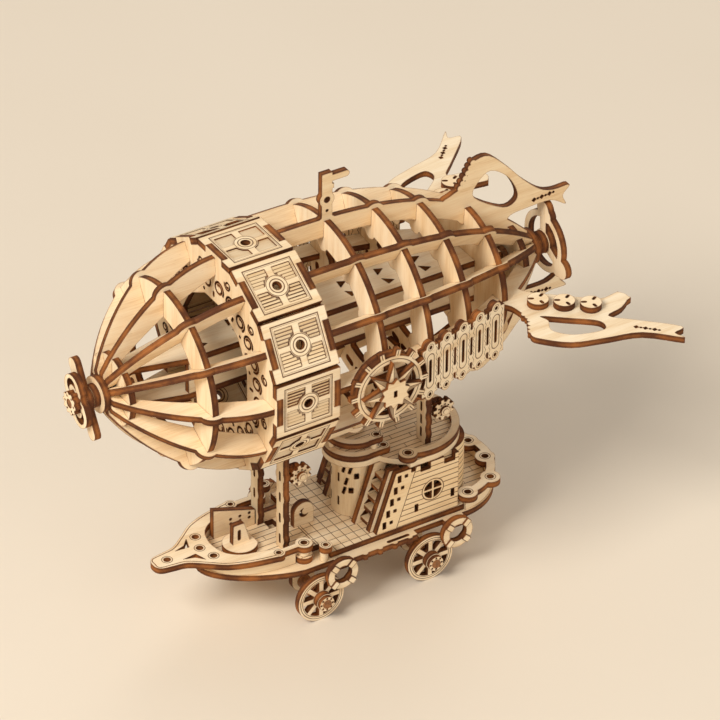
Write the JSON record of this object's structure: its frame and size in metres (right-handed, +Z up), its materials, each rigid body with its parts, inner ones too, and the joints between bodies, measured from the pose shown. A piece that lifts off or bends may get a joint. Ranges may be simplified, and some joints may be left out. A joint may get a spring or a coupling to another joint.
{
  "type": "airship model",
  "caption": "Laser-cut plywood model of a ribbed airship with fins and propellers, standing on posts over a small wheeled ship with a deck house.",
  "frame": {"origin": "on the ground under the middle of the overall length, in the plane of symmetry", "axes": "+X along the envelope towards the nose, +Y to the port side, +Z up"},
  "size_m": [0.2494, 0.188, 0.208],
  "materials": {
    "plywood_pale": "raw birch face, burnt edges",
    "plywood_warm": "raw birch face, burnt edges",
    "dowel": "turned dowel"
  },
  "bodies": {
    "airship": {"nose_ribs": "plywood_pale", "nose_ring": "plywood_pale", "hub_discs": "plywood_warm", "nose_cap": "plywood_warm", "band_front_ring": "plywood_pale", "band_rear_ring": "plywood_pale", "band_panels": "plywood_pale", "ring_frame_1": "plywood_pale", "ring_frame_2": "plywood_pale", "ring_frame_3": "plywood_pale", "ring_frame_4": "plywood_pale", "tail_cap": "plywood_warm", "spine_plates": "plywood_warm", "spine_sides": "plywood_warm", "top_stringer": "plywood_pale", "bottom_stringer": "plywood_pale", "port_wing": "plywood_pale", "starboard_wing": "plywood_pale", "upper_stringers": "plywood_pale", "lower_stringers": "plywood_pale", "compass_rings": "plywood_pale", "compass_stars": "plywood_pale", "compass_backs": "plywood_warm", "grilles": "plywood_pale", "wing_discs": "plywood_pale", "hull_floor": "plywood_warm", "stern_bulwark": "plywood_pale", "main_deck": "plywood_pale", "keel_ribs": "plywood_warm", "bow_wall": "plywood_pale", "bow_rail": "plywood_pale", "stern_rail": "plywood_pale", "rail_spacers": "plywood_pale", "bow_seat": "plywood_pale", "partitions": "plywood_pale", "cabin_walls": "plywood_pale", "stern_wall": "plywood_pale", "tower": "plywood_warm", "stairs": "plywood_warm", "upper_deck": "plywood_pale", "upper_rear_rail": "plywood_pale", "upper_front_rails": "plywood_pale", "lifebuoys": "plywood_pale", "front_posts": "plywood_pale", "rear_posts": "plywood_pale"},
    "nose_propeller": {"nose_propeller": "plywood_pale", "nose_propeller_back": "plywood_warm", "nose_propeller_cap": "plywood_pale", "nose_shaft": "dowel"},
    "tail_propeller": {"tail_propeller": "plywood_pale", "tail_propeller_cap": "plywood_pale", "tail_shaft": "dowel"},
    "front_wheelset": {"front_axle": "dowel", "front_wheels": "plywood_pale"},
    "rear_wheelset": {"rear_axle": "dowel", "rear_wheels": "plywood_pale"},
    "port_front_gear": {"gear_port_front": "plywood_pale"},
    "starboard_front_gear": {"gear_starboard_front": "plywood_pale"},
    "port_rear_gear": {"gear_port_rear": "plywood_pale"},
    "starboard_rear_gear": {"gear_starboard_rear": "plywood_pale"}
  },
  "joints": [
    {"name": "nose_propeller_spin", "type": "hinge", "parent": "airship", "child": "nose_propeller", "pos_m": [0.1163, 0, 0.135], "axis": [1, 0, 0], "continuous": true},
    {"name": "tail_propeller_spin", "type": "hinge", "parent": "airship", "child": "tail_propeller", "pos_m": [-0.1117, 0, 0.135], "axis": [1, 0, 0], "continuous": true},
    {"name": "front_wheels_roll", "type": "hinge", "parent": "airship", "child": "front_wheelset", "pos_m": [0.0198, 0, 0.0115], "axis": [0, 1, 0], "continuous": true},
    {"name": "rear_wheels_roll", "type": "hinge", "parent": "airship", "child": "rear_wheelset", "pos_m": [-0.0361, 0, 0.0115], "axis": [0, 1, 0], "continuous": true},
    {"name": "port_front_gear_spin", "type": "hinge", "parent": "airship", "child": "port_front_gear", "pos_m": [0.0199, 0.012, 0.0668], "axis": [0, 1, 0], "continuous": true},
    {"name": "starboard_front_gear_spin", "type": "hinge", "parent": "airship", "child": "starboard_front_gear", "pos_m": [0.0199, -0.012, 0.0668], "axis": [0, 1, 0], "continuous": true},
    {"name": "port_rear_gear_spin", "type": "hinge", "parent": "airship", "child": "port_rear_gear", "pos_m": [-0.0503, 0.0159, 0.078], "axis": [0, 1, 0], "continuous": true},
    {"name": "starboard_rear_gear_spin", "type": "hinge", "parent": "airship", "child": "starboard_rear_gear", "pos_m": [-0.0503, -0.0159, 0.078], "axis": [0, 1, 0], "continuous": true}
  ]
}
